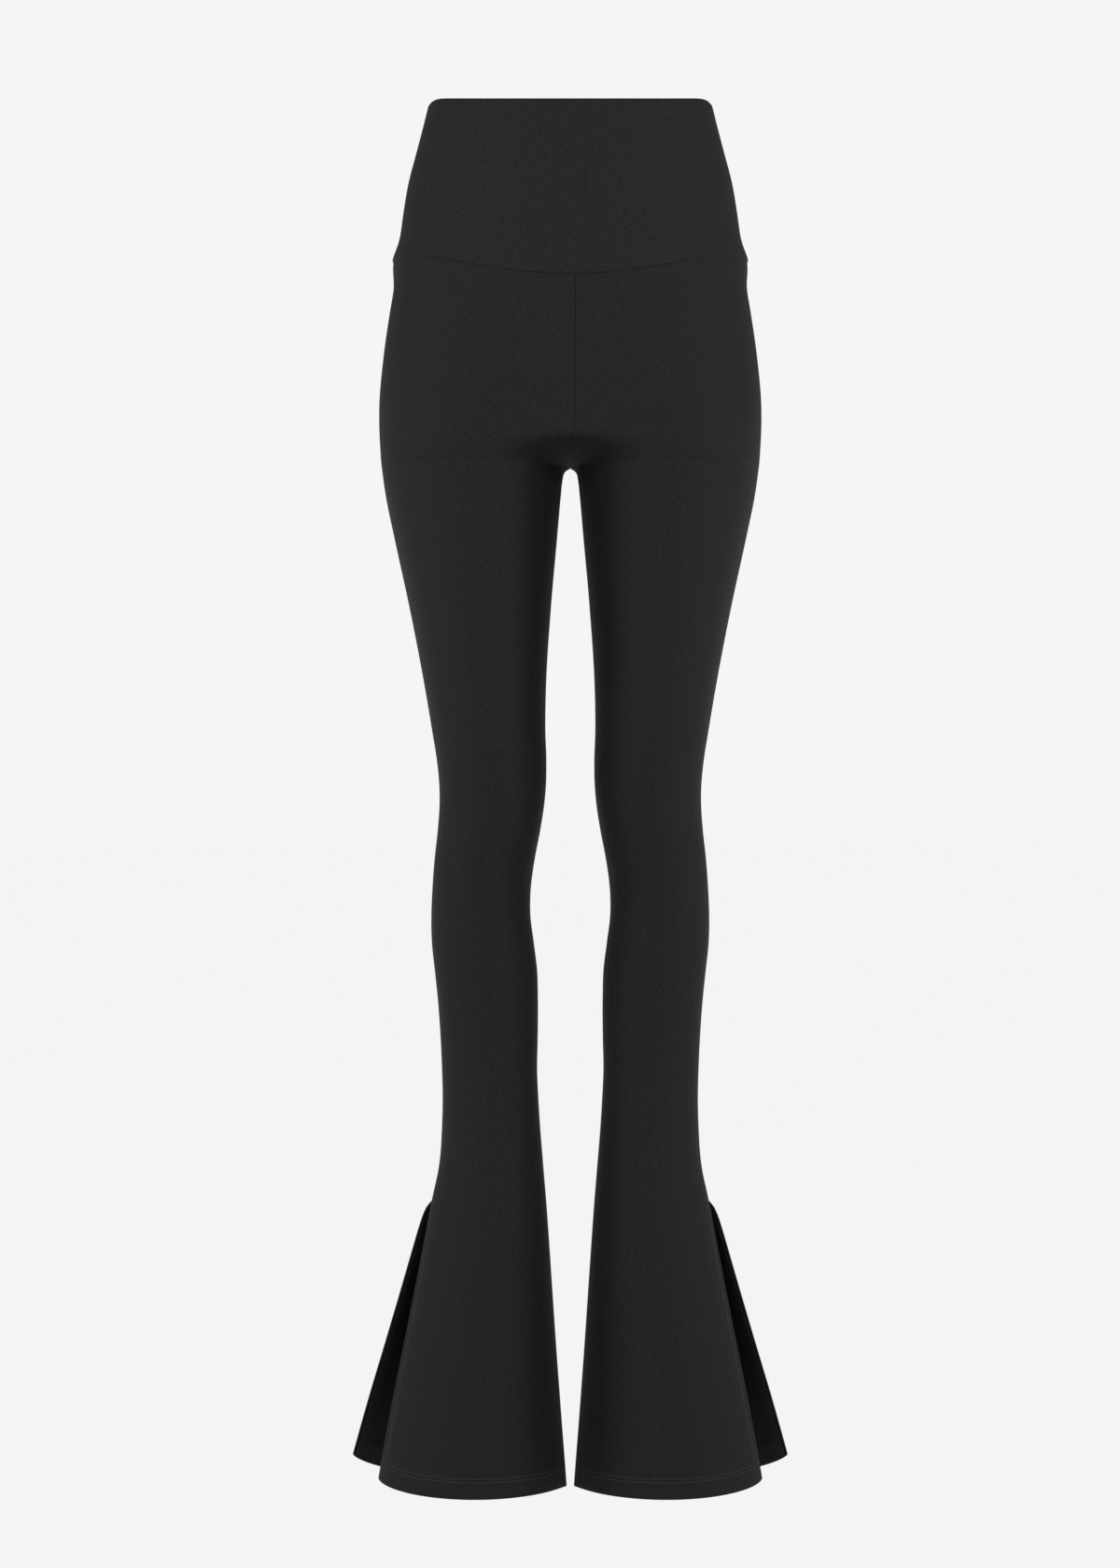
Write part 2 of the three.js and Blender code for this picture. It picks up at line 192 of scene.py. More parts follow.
def draw_half(half):
    """Points of one half, front or back, at each level and each even share of the way round, and its lengths."""
    drop = LEVELS[:, None]
    share = ((1 - np.cos(np.pi * np.arange(ARC_STEPS + 1) / ARC_STEPS)) / 2)[None, :]
    side = section["side"][:, None].copy()
    middle = section["middle"][:, None]
    edge = middle.copy()
    below = np.maximum(0, drop - SLIT_TOP)
    if half == "front":
        edge -= SLIT["forward"] * below
        spring = 0 * below
    else:
        side += SLIT["out"] * below
        edge += SLIT["away"] * below
        spring = 1 - np.exp(-below / SLIT["springs_in"])
    height = np.maximum(0, CROTCH - drop)
    parted = np.maximum(0, 1 - (height / RISE[half]) ** RISE["ease"])
    inner = np.where(drop >= CROTCH, section["inseam"][:, None], ARCH_RADIUS)
    inner = np.maximum(inner, ARCH_RADIUS)
    crest = (side + inner) / 2 * (1 - smooth_step(height / RISE["crest"]))
    wide = inner + (side - inner) * share
    inside = parted * (crest - wide) / np.maximum(crest - inner, 0.001)
    outside = (wide - crest) / (side - crest)
    fall = np.clip(np.where(wide < crest, inside, outside), 0, 1)
    bulge = (1 - fall ** section["square"][:, None]) ** section["round"][:, None]
    out = -section["front"][:, None] if half == "front" else section["back"][:, None]
    loose = spring * share ** SLIT["wide"]
    x = np.sqrt(np.maximum(0, wide**2 - ARCH_RADIUS**2)) + SLIT["spring_out"] * loose
    y = middle + (edge - middle) * share + out * bulge + SLIT["spring_away"] * loose
    length = np.concatenate([0 * drop, np.cumsum(np.hypot(np.diff(x), np.diff(y)), axis=1)], axis=1)
    even = np.linspace(0, 1, ARC_STEPS + 1)
    total = length[:, -1]
    xs = np.array([np.interp(even * t, row, a) for t, row, a in zip(total, length, x)])
    ys = np.array([np.interp(even * t, row, a) for t, row, a in zip(total, length, y)])
    return {"x": xs, "y": ys, "total": total}


halves = {half: draw_half(half) for half in ("front", "back")}
print("points in each half:", halves["front"]["x"].size)


def length_round(half, drop):
    """The distance from the middle or the inseam to the side seam."""
    return np.interp(drop, LEVELS, halves[half]["total"])


def form(half, along, drop):
    """Points of the form, in millimetres. along runs from the middle or the inseam, and is negative beyond it."""
    drawn = halves[half]
    share = np.clip(np.abs(along) / length_round(half, drop), 0, 1) * ARC_STEPS
    level = np.clip(drop - LEVELS[0], 0, len(LEVELS) - 1.001)
    column = np.minimum(share.astype(int), ARC_STEPS - 1)
    row = level.astype(int)
    s = share - column
    t = level - row
    weights = ((1 - s) * (1 - t), s * (1 - t), (1 - s) * t, s * t)
    spots = ((row, column), (row, column + 1), (row + 1, column), (row + 1, column + 1))
    x = sum(w * drawn["x"][spot] for w, spot in zip(weights, spots))
    y = sum(w * drawn["y"][spot] for w, spot in zip(weights, spots))
    return np.stack([np.where(along < 0, -x, x), y, -drop], axis=-1)


def outward(half, along, drop, step=1.5):
    """The direction out of the cloth at each point."""
    total = length_round(half, drop)
    low = np.where(drop >= CROTCH, 0, -total)
    ahead = form(half, np.minimum(along + step, total), drop)
    behind = form(half, np.maximum(along - step, low), drop)
    share = along / total
    above = form(half, share * length_round(half, drop - step), drop - step)
    under = form(half, share * length_round(half, drop + step), drop + step)
    normal = np.cross(ahead - behind, above - under)
    normal /= np.linalg.norm(normal, axis=-1, keepdims=True)
    return normal if half == "front" else -normal


# %% [markdown]
# ## Edges and creases
# Jersey never ends in a sharp line. At a seam the two panels roll inwards and leave a fine valley, and at a hem
# the cloth is turned in once and stitched, so the edge is round and twice as thick. The garment is smooth, so
# its few creases are soft and shallow: at the groin, at the knee in front, and rather more behind the knee
# and under the seat, where a standing leg leaves spare cloth.

# %% Rolls, hems and creases
CLOTH_MM = 1.4
TURNED_MM = 2.6
WAIST_ROLL = (0.9, 2.0)  # how wide and how deep
SEAM_ROLL = (0.6, 1.3)
INSEAM_ROLL = (0.5, 0.6)
CENTRE_ROLL = (0.45, 1.0)
EDGE_ROLL = (0.9, 1.1)
HEM_DEPTH = 18
SLIT_DEPTH = 18
CREASE_REACH = 0.42  # how much of its run a crease keeps at full depth, on either side of its middle
CREASE_COLUMNS = ("half", "side", "from_share", "from_drop", "to_share", "to_drop", "depth", "width")
CREASES = (
    ("front", "both", 0.02, 262, 0.34, 236, -0.9, 9),
    ("front", "left", 0.05, 284, 0.42, 262, -0.8, 8),
    ("front", "right", 0.04, 281, 0.36, 255, -0.9, 8),
    ("front", "left", 0.08, 306, 0.36, 300, 0.5, 7),
    ("front", "right", 0.10, 309, 0.40, 304, 0.5, 7),
    ("front", "both", 0.12, 560, 0.55, 548, -0.9, 13),
    ("front", "left", 0.35, 588, 0.80, 574, -0.7, 11),
    ("front", "right", 0.30, 592, 0.74, 581, -0.7, 12),
    ("front", "both", 0.05, 640, 0.40, 652, -0.6, 12),
    ("back", "both", 0.04, 318, 0.52, 330, -1.6, 10),
    ("back", "left", 0.10, 343, 0.46, 352, -0.9, 9),
    ("back", "right", 0.08, 338, 0.40, 349, -1.0, 9),
    ("back", "left", 0.06, 553, 0.72, 541, -1.3, 8),
    ("back", "right", 0.08, 549, 0.66, 539, -1.3, 8),
    ("back", "both", 0.20, 574, 0.92, 566, -1.5, 9),
    ("back", "left", 0.10, 596, 0.62, 603, -1.1, 9),
    ("back", "right", 0.16, 592, 0.70, 601, -1.1, 9),
    ("back", "both", 0.15, 700, 0.60, 712, -0.6, 12),
)


def roll(distance, turn):
    """How deep the cloth has turned in at a distance from its edge: a quarter of an ellipse."""
    width, depth = turn
    return depth * (1 - np.sqrt(1 - np.clip(1 - distance / width, 0, 1) ** 2))


def creased(half, side, along, drop):
    """How far the creases move the cloth outwards."""
    total = length_round(half, drop)
    share = along / total
    moved = 0 * drop
    for row in CREASES:
        crease = dict(zip(CREASE_COLUMNS, row))
        if crease["half"] != half or crease["side"] not in ("both", side):
            continue
        run = (share - crease["from_share"]) / (crease["to_share"] - crease["from_share"])
        line = crease["from_drop"] + (crease["to_drop"] - crease["from_drop"]) * run
        taper = np.exp(-(((run - 0.5) / CREASE_REACH) ** 4))
        moved = moved + crease["depth"] * taper * np.exp(-(((drop - line) / crease["width"]) ** 2))
    return moved


def waist_seam(half, share):
    """The drop of the waist seam at a share of the way round to the side seam."""
    level = form(half, share * length_round(half, WAIST_SEAM), WAIST_SEAM + 0 * share)
    side = np.interp(WAIST_SEAM, LEVELS, section["side"])
    inside = np.maximum(0, 1 - (np.abs(level[..., 0]) / (SEAM_DIP["share"] * side)) ** 2)
    return WAIST_SEAM + SEAM_DIP[half] * inside**1.25


def top_edge(half, share):
    """The drop of the folded top edge, level in the middle and rounded off at the sides."""
    level = form(half, share * length_round(half, 0), 0 * share)
    crown, slope = TOP_EDGE[half]
    side = np.interp(0, LEVELS, section["side"])
    corner = np.minimum(1, np.abs(level[..., 0]) / side) ** TOP_EDGE["corner"]
    return crown * (corner - 1) - slope * level[..., 1]


def hem_line(half, share):
    """The drop of the hem at a share of the way round from the inseam to the slit."""
    inseam, slit, belly, corner, power = HEM[half]
    return inseam + (slit - inseam) * share + 4 * belly * share * (1 - share) - corner * share**power


# %% [markdown]
# ## A sheet of cloth
# A maker starts from a flat rectangle of jersey, and so does each sheet here: a grid primitive with rows and
# columns gathered near the edges, where the cloth turns. Its points are then laid on the form. A Solidify
# modifier gives the cloth its thickness, twice as much where it is turned in, and is applied.

# %% Helpers for sheets
CLOTH_SPAN = 1.25  # metres of cloth across the whole UV square
NEAR_EDGE = np.array([0, 0.08, 0.2, 0.36, 0.6, 1.0, 1.8, 3.4, 6.5])
CORNER_ANGLE = math.radians(60)


def deselect():
    bpy.ops.object.select_all(action="DESELECT")


def grid_sheet(name, points, cloth_uv, thickness, inside_out):
    """A mesh sheet from points laid out in rows and columns, in millimetres, with its thickness at each point."""
    rows, columns = points.shape[:2]
    deselect()
    bpy.ops.mesh.primitive_grid_add(x_subdivisions=columns - 1, y_subdivisions=rows - 1, size=1)
    sheet = bpy.context.object
    sheet.name = name
    mesh = sheet.data
    mesh.name = name
    flat = np.empty(len(mesh.vertices) * 3)
    mesh.vertices.foreach_get("co", flat)
    flat = flat.reshape(-1, 3)
    column = np.rint((flat[:, 0] + 0.5) * (columns - 1)).astype(int)
    row = np.rint((0.5 - flat[:, 1]) * (rows - 1)).astype(int)
    mesh.vertices.foreach_set("co", (points[row, column] * MM).ravel())
    corner_vertex = np.empty(len(mesh.loops), dtype=int)
    mesh.loops.foreach_get("vertex_index", corner_vertex)
    uv = mesh.uv_layers.active or mesh.uv_layers.new(name="cloth")
    uv.name = "cloth"
    spread = cloth_uv[row, column][corner_vertex] * MM / CLOTH_SPAN
    uv.uv.foreach_set("vector", spread.ravel())
    mesh.update()
    if inside_out:
        bpy.ops.object.mode_set(mode="EDIT")
        bpy.ops.mesh.select_all(action="SELECT")
        bpy.ops.mesh.flip_normals()
        bpy.ops.object.mode_set(mode="OBJECT")
    group = sheet.vertex_groups.new(name="thickness")
    share = thickness[row, column] / thickness.max()
    for value in np.unique(share):
        group.add(np.flatnonzero(share == value).tolist(), float(value), "REPLACE")
    solidify = sheet.modifiers.new("wall", "SOLIDIFY")
    solidify.thickness = thickness.max() * MM
    solidify.offset = -1
    solidify.vertex_group = "thickness"
    bpy.ops.object.modifier_apply(modifier="wall")
    bpy.ops.object.shade_smooth_by_angle(angle=CORNER_ANGLE)
    return sheet


def spread_columns(start, end, count):
    """Distances from start to end, gathered at both edges."""
    middle = np.linspace(0, 1, count)[1:-1]
    low = start[..., None] + NEAR_EDGE
    high = end[..., None] - NEAR_EDGE[::-1]
    between = low[..., -1:] + (high[..., :1] - low[..., -1:]) * middle
    return np.concatenate([low, between, high], axis=-1)


def column_shares(half, drop, start, count):
    """How far round each column lies at one level, as shares of the way to the side seam."""
    total = length_round(half, drop)
    return spread_columns(np.array([start]), np.array([total - SEAM_GAP / 2]), count) / total


# %% [markdown]
# ## The legs
# Each leg is a front and a back panel in one layer. The rows of a panel follow the waist seam at the top and
# crowd together at the crotch, where the cloth turns under the body. The centre front seam lies a few
# millimetres to the wearer's left, as it does on the real pair.

# %% The leg panels
LEG_COLUMNS = 40
LEG_SPANS = ((227, 26), (CROTCH, 30), (377, 30), (SLIT_TOP, 150))
FLARE_ROWS = 62
LEVEL_BY = 227
CROWD_REACH = 75
ROLLS = {"starts": 8, "grows": 32, "fades": 30, "clear": 12}  # distances from the crotch
ABOVE_HEM = np.concatenate([[24, 21, 18.5, 17, 16, 15.4, 14.8, 14.2, 13.4, 12], NEAR_EDGE[::-1]])
FLARE_ENDS = 26
TURN = {"past": 3, "soft": 6, "grows": 10, "steps": 12}  # how a turned edge thins out into one layer
LEG_UV = (20, 1170)


def leg_row_drops():
    """The drops of a panel's rows, from the waist seam down to the top of the slit."""
    rows = [float(WAIST_SEAM)]
    rows += [WAIST_SEAM + d for d in NEAR_EDGE[1:]]
    for to, count in LEG_SPANS:
        start = rows[-1]
        rows += [start + (to - start) * (i + 1) / count for i in range(count)]
    return np.array(rows)


def crowded(drop):
    """Rows drawn closer together near the crotch."""
    away = drop - CROTCH
    near = CROTCH + np.sign(away) * CROWD_REACH * (1 - np.cos(np.pi * np.abs(away) / (2 * CROWD_REACH)))
    return np.where(np.abs(away) < CROWD_REACH, near, drop)


def seam_lean(drop):
    """How far the centre front seam lies to the wearer's left."""
    share = (drop - WAIST_SEAM) / (CROTCH - WAIST_SEAM)
    fade = smooth_step((CROTCH - drop - SEAM_LEAN["fades"]) / (SEAM_LEAN["ends"] - SEAM_LEAN["fades"]))
    return (SEAM_LEAN["top"] + (SEAM_LEAN["bottom"] - SEAM_LEAN["top"]) * share) * fade


def leg_inner_edge(drop, lean):
    return SEAM_GAP / 2 + np.where(drop < CROTCH, lean * seam_lean(drop), 0)


def leg_point(half, side, along, drop, lift=0):
    """Points of a leg panel's outer face, with its rolled edges and creases."""
    lean = {"left": 1, "right": -1}[side] if half == "front" else 0
    share = np.abs(along) / length_round(half, drop)
    inner = leg_inner_edge(drop, lean)
    outer = length_round(half, drop) - SEAM_GAP / 2
    top = waist_seam(half, share) + SEAM_GAP / 2
    bottom = hem_line(half, share)
    below = smooth_step((drop - CROTCH - ROLLS["starts"]) / ROLLS["grows"])
    seams = np.maximum(roll(along - inner, INSEAM_ROLL) * below, roll(drop - top, WAIST_ROLL))
    side_seam = roll(outer - along, SEAM_ROLL)
    slit_edge = roll(outer - along, EDGE_ROLL)
    edges = np.maximum(np.where(drop < SLIT_TOP, side_seam, slit_edge), roll(bottom - drop, EDGE_ROLL))
    normal = outward(half, along, drop)
    moved = creased(half, side, along, drop) + lift - np.maximum(seams, edges)
    centre = roll(along - inner, CENTRE_ROLL) * smooth_step((CROTCH - drop) / ROLLS["fades"])
    points = form(half, along, drop) + normal * moved[..., None] - normal * [0, 1, 1] * centre[..., None]
    at_crotch = np.abs(drop - CROTCH) < ROLLS["clear"]
    points[..., 0] = np.where(at_crotch, np.maximum(points[..., 0], SEAM_GAP / 2), points[..., 0])
    middle = np.interp(drop, LEVELS, section["middle"])
    under = drop >= CROTCH - SEAM_GAP
    if half == "front":
        points[..., 1] = np.where(under, np.minimum(points[..., 1], middle - SEAM_GAP / 2), points[..., 1])
    else:
        points[..., 1] = np.where(under, np.maximum(points[..., 1], middle + SEAM_GAP / 2), points[..., 1])
    if side == "right":
        points = points * np.array([-1, 1, 1])
    return points


def leg_panel(side, half):
    """One leg panel as a sheet, from the waist seam to the hem."""
    lean = {"left": 1, "right": -1}[side] if half == "front" else 0
    share = column_shares(half, WAIST_SEAM, leg_inner_edge(WAIST_SEAM, lean), LEG_COLUMNS)
    seam = waist_seam(half, np.abs(share)) + SEAM_GAP / 2
    rows = leg_row_drops()[:, None]
    follow = np.maximum(0, 1 - (rows - WAIST_SEAM) / (LEVEL_BY - WAIST_SEAM))
    bent = rows + (seam - WAIST_SEAM) * follow
    body = crowded(bent) * (1 - share) + bent * share
    hem = hem_line(half, column_shares(half, HEM["front"][1], SEAM_GAP / 2, LEG_COLUMNS))
    steps = np.linspace(0, 1, FLARE_ROWS + 1)[1:, None]
    flare = SLIT_TOP + (hem - FLARE_ENDS - SLIT_TOP) * steps
    drop = np.concatenate([body, flare, hem - ABOVE_HEM[:, None]])
    outer = length_round(half, drop) - SEAM_GAP / 2
    inner = leg_inner_edge(drop, lean)
    columns = [spread_columns(start, end, LEG_COLUMNS) for start, end in zip(inner.T, outer.T)]
    along = np.stack([column[:, c] for c, column in enumerate(columns)], axis=1)
    points = leg_point(half, side, along, drop)
    in_hem = smooth_step((HEM_DEPTH + TURN["past"] - (hem - drop)) / TURN["soft"])
    from_slit = length_round(half, drop) - along
    in_slit = smooth_step((SLIT_DEPTH + TURN["past"] - from_slit) / TURN["soft"])
    in_slit = in_slit * smooth_step((drop - SLIT_TOP) / TURN["grows"])
    turned = np.round(np.maximum(in_hem, in_slit) * TURN["steps"]) / TURN["steps"]
    thickness = CLOTH_MM + (TURNED_MM - CLOTH_MM) * turned
    cloth_uv = np.stack([along + LEG_UV[0], LEG_UV[1] - drop], axis=-1)
    inside_out = (half == "front") == (side == "right")
    sheet = grid_sheet(f"{side}_{half}_leg_cloth", points, cloth_uv, thickness, inside_out)
    width = float((length_round(half, drop) - SEAM_GAP).max())
    height = float((drop[-1] - drop[0]).max())
    area = cut_area(along, drop)
    print(sheet.name, "cut", round(width), "by", round(height), "mm, area", round(area * 1e-6, 4), "m2")
    return sheet, width, height, area


def cut_area(along, drop):
    """The area of the cut, from its outline laid flat."""
    widths = along[:, -1] - along[:, 0]
    heights = drop.mean(axis=1)
    return float(np.sum((widths[1:] + widths[:-1]) / 2 * np.diff(heights)))


cloth_pieces = {}
for side in ("left", "right"):
    for half in ("front", "back"):
        piece, width, height, area = leg_panel(side, half)
        node = f"{side}_{half}_leg"
        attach(piece, "root")
        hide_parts(node)
        cloth_pieces[node] = (piece, width, height, area)

# %% [markdown]
# ## The waistband
# The waistband is one strip for the front and one for the back, each folded double along the top edge and sewn
# in at the sides. The sheet climbs the outside, turns over in a small round fold and comes down the inside.

# %% The waistband panels
BAND_MM = 2.6
LAYER_MM = 1.2
BAND_COLUMNS = 96
BAND_ROWS = 34
FOLD_STEPS = 9
CLIMB_END = 1000
FOLD_UV = (0.4, 4)
BAND_UV = (250, 20)


def band_panel(half):
    """The front or back of the waistband as one folded sheet."""
    radius = BAND_MM / 2
    seam_shares = column_shares(half, WAIST_SEAM, SEAM_GAP / 2 - length_round(half, WAIST_SEAM), BAND_COLUMNS)
    top_shares = column_shares(half, 0, SEAM_GAP / 2 - length_round(half, 0), BAND_COLUMNS)
    seam = waist_seam(half, np.abs(seam_shares)) - SEAM_GAP / 2
    top = top_edge(half, np.abs(top_shares))
    near_end = NEAR_EDGE[-1]
    rise = np.concatenate([NEAR_EDGE, np.linspace(near_end, CLIMB_END, BAND_ROWS)[1:]])[:, None]
    span = seam - top - radius
    beyond = near_end + (span - near_end) * (rise - near_end) / (CLIMB_END - near_end)
    climb = np.where(rise <= near_end, rise, beyond)
    outer_drop = seam - climb
    fold_drop = np.repeat(top + radius, FOLD_STEPS, axis=0)
    drop = np.concatenate([outer_drop, fold_drop, outer_drop[::-1]])
    end = length_round(half, drop) - SEAM_GAP / 2
    columns = [spread_columns(-e, e, BAND_COLUMNS) for e in end.T]
    along = np.stack([column[:, c] for c, column in enumerate(columns)], axis=1)
    normal = outward(half, along, drop)
    base = form(half, along, drop)
    along_above = along / length_round(half, drop) * length_round(half, drop - 1)
    up = form(half, along_above, drop - 1) - base
    up /= np.linalg.norm(up, axis=-1, keepdims=True)
    rows = len(outer_drop)
    depth = np.zeros(drop.shape)
    lift = np.zeros(drop.shape)
    turn = np.pi * (np.arange(FOLD_STEPS) + 1) / (FOLD_STEPS + 1)
    depth[rows : rows + FOLD_STEPS] = (radius * (1 - np.cos(turn)))[:, None]
    lift[rows : rows + FOLD_STEPS] = (radius * np.sin(turn))[:, None]
    depth[rows + FOLD_STEPS :] = BAND_MM
    seam_roll = np.maximum(roll(seam - drop, WAIST_ROLL), roll(end - np.abs(along), SEAM_ROLL))
    outside = np.arange(len(drop))[:, None] < rows + FOLD_STEPS / 2
    depth = np.where(outside, np.maximum(depth, seam_roll), depth)
    points = base - normal * depth[..., None] + up * lift[..., None]
    over_fold = climb[-1:] + FOLD_UV[0] * np.arange(1, FOLD_STEPS + 1)[:, None]
    height = np.concatenate([climb, over_fold, 2 * climb[-1:] + FOLD_UV[1] - climb[::-1]])
    cloth_uv = np.stack([along + BAND_UV[0], height + BAND_UV[1]], axis=-1)
    thickness = np.full(drop.shape, LAYER_MM)
    sheet = grid_sheet(f"waistband_{half}_cloth", points, cloth_uv, thickness, half == "back")
    width = float(2 * end.max())
    flat_height = float(height.max() - height.min())
    mean_widths = 2 * (end[1:].mean(axis=1) + end[:-1].mean(axis=1)) / 2
    area = float(np.sum(mean_widths * np.abs(np.diff(height.mean(axis=1)))))
    print(sheet.name, "cut", round(width), "by", round(flat_height), "mm, area", round(area * 1e-6, 4), "m2")
    return sheet, width, flat_height, area


for half in ("front", "back"):
    piece, width, height, area = band_panel(half)
    node = f"waistband_{half}"
    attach(piece, "root")
    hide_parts(node)
    cloth_pieces[node] = (piece, width, height, area)

# %% [markdown]
# ## The stitching
# The hems and the slit edges are turned in once and held by a twin needle, whose two rows of stitches show on the
# right side as short dashes. One stitch is modelled as a slim thread with tapered ends, and copied along each line.

# %% Stitches along the hems and slits
STITCH_MM = 2.2
STITCH_STEP = 3.1
THREAD_RADIUS = 0.22
HEM_ROWS = (16.8, 13.8)
SLIT_ROWS = (17.4, 14.4)
STITCH_ENDS = {"length": 0.2, "dip": -0.12, "taper": 0.55}
STITCH_LIFT = 0.05
HEM_LINE = {"from": 0.004, "points": 160, "short": 1}
SLIT_LINE = {"from": 4, "to": 0.93, "points": 200, "closes": 26, "least": 1.5}


def one_stitch():
    """A single stitch along X, as points and faces."""
    deselect()
    bpy.ops.mesh.primitive_cylinder_add(
        vertices=6, radius=THREAD_RADIUS, depth=STITCH_MM * 0.6, end_fill_type="NGON", rotation=(0, math.pi / 2, 0)
    )
    stitch = bpy.context.object
    bpy.ops.object.transform_apply(location=False, rotation=True, scale=False)
    for end in (-1, 1):
        bpy.ops.object.mode_set(mode="EDIT")
        bpy.ops.mesh.select_all(action="DESELECT")
        bpy.ops.object.mode_set(mode="OBJECT")
        for face in stitch.data.polygons:
            face.select = end * face.normal.x > 0.9
        bpy.ops.object.mode_set(mode="EDIT")
        reach = (end * STITCH_MM * STITCH_ENDS["length"], 0, STITCH_ENDS["dip"])
        bpy.ops.mesh.extrude_region_move(TRANSFORM_OT_translate={"value": reach})
        bpy.ops.transform.resize(value=(1, STITCH_ENDS["taper"], STITCH_ENDS["taper"]))
        bpy.ops.object.mode_set(mode="OBJECT")
    points = np.array([v.co[:] for v in stitch.data.vertices])
    faces = [tuple(f.vertices) for f in stitch.data.polygons]
    bpy.data.objects.remove(stitch)
    return points, faces


stitch_points, stitch_faces = one_stitch()


def stitch_row(name, line, normals):
    """Stitches laid along a line of points, in millimetres, on a surface with these normals."""
    gaps = np.linalg.norm(np.diff(line, axis=0), axis=1)
    travelled = np.concatenate([[0], np.cumsum(gaps)])
    spots = np.arange(STITCH_STEP, travelled[-1] - STITCH_STEP / 2, STITCH_STEP)
    centre = np.stack([np.interp(spots, travelled, line[:, i]) for i in range(3)], axis=-1)
    ahead = np.stack([np.interp(spots + 0.5, travelled, line[:, i]) for i in range(3)], axis=-1)
    up = np.stack([np.interp(spots, travelled, normals[:, i]) for i in range(3)], axis=-1)
    along = ahead - centre
    along /= np.linalg.norm(along, axis=-1, keepdims=True)
    across = np.cross(up, along)
    across /= np.linalg.norm(across, axis=-1, keepdims=True)
    up = np.cross(along, across)
    turned = np.stack([along, across, up], axis=1)
    placed = np.einsum("vi,sij->svj", stitch_points, turned) + centre[:, None, :]
    starts = range(0, len(spots) * len(stitch_points), len(stitch_points))
    faces = [tuple(start + v for v in face) for start in starts for face in stitch_faces]
    mesh = bpy.data.meshes.new(name)
    mesh.from_pydata((placed.reshape(-1, 3) * MM).tolist(), [], faces)
    row = bpy.data.objects.new(name, mesh)
    bpy.context.scene.collection.objects.link(row)
    return row


def panel_lines(half):
    """The stitch lines of one leg panel: two along the hem and two up the slit, as a twin needle leaves them."""
    for number, (above, inset) in enumerate(zip(HEM_ROWS, SLIT_ROWS), start=1):
        share = np.linspace(HEM_LINE["from"], 1, HEM_LINE["points"])
        total = length_round(half, hem_line(half, share) - above)
        along = SEAM_GAP / 2 + share * (total - inset - HEM_LINE["short"])
        share = along / total
        yield f"hem_{number}", along, hem_line(half, share) - above
        lowest = float(hem_line(half, np.array(SLIT_LINE["to"]))) - above
        drop = np.linspace(SLIT_TOP + SLIT_LINE["from"], lowest, SLIT_LINE["points"])
        total = length_round(half, drop)
        closing = inset * smooth_step((drop - SLIT_TOP) / SLIT_LINE["closes"])
        along = total - np.maximum(closing, SLIT_LINE["least"] * number)
        yield f"slit_{number}", along, drop


stitches = []
for side in ("left", "right"):
    for half in ("front", "back"):
        for kind, along, drop in panel_lines(half):
            line = leg_point(half, side, along, drop, STITCH_LIFT)
            normal = leg_point(half, side, along, drop, STITCH_LIFT + 1) - line
            row = stitch_row(f"{side}_{half}_{kind}_stitches", line, normal)
            stitches.append(row)
            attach(row, "root")
print("stitch rows:", len(stitches))

# %% [markdown]
# ## Colours
# Cloth colours are read off a swatch as sRGB hex codes, and the shader wants linear light, so one function turns
# the one into the other. Another adds a node with its settings in one line.

# %% Colour and node helpers
def srgb(code):
    """A hex colour as linear red, green, blue and alpha."""
    parts = [int(code[i : i + 2], 16) / 255 for i in (1, 3, 5)]
    return [c / 12.92 if c <= 0.04045 else ((c + 0.055) / 1.055) ** 2.4 for c in parts] + [1]


def add_node(tree, kind, settings=None, **links):
    """Adds a node, sets its attributes and sockets, and links the sockets that are given as outputs."""
    node = tree.nodes.new(kind)
    for name, value in (settings or {}).items():
        if hasattr(node, name):
            setattr(node, name, value)
        else:
            node.inputs[name].default_value = value
    for name, output in links.items():
        tree.links.new(output, node.inputs[name.replace("_", " ")])
    return node


def two_shades(tree, factor, dark, pale):
    """Colours the material's shader with a mix of two hex colours."""
    colour = add_node(tree, "ShaderNodeMix", {"data_type": "RGBA"})
    tree.links.new(factor, colour.inputs["Factor"])
    colour.inputs[6].default_value = srgb(dark)
    colour.inputs[7].default_value = srgb(pale)
    tree.links.new(colour.outputs[2], tree.nodes["Principled BSDF"].inputs["Base Color"])


# %% [markdown]
# ## The cloth's finish
# Ponte is a firm double jersey of viscose and nylon with a little elastane, knitted fine and brushed by wear.
# It has no shine of its own, but the short fibres that stand off it catch light from the side, so its edges
# look paler than its face. The dye takes a little unevenly along the courses, which gives faint level streaks.

# %% The jersey
WALE_MM = 1.1  # a real wale is 0.6 mm wide, too fine to show from here
STREAK_MM = (4, 1.5)
FIBRE_MM = 1.5
SHADE_SPAN = (0.7, 1.3)
WALE_SHARE = 0.35
BUMP = {"Strength": 0.35, "Distance": 0.0004}


def cloth_place(tree, size_mm):
    """The place on the flat cloth, in steps of a pattern's size."""
    grain = add_node(tree, "ShaderNodeUVMap", {"uv_map": "cloth"})
    scale = [CLOTH_SPAN * 1000 / size for size in size_mm] + [1]
    return add_node(tree, "ShaderNodeMapping", {"Scale": scale}, Vector=grain.outputs["UV"]).outputs["Vector"]


def cloth_noise(tree, size_mm, settings):
    place = cloth_place(tree, size_mm)
    return add_node(tree, "ShaderNodeTexNoise", {"Scale": 1, **settings}, Vector=place)


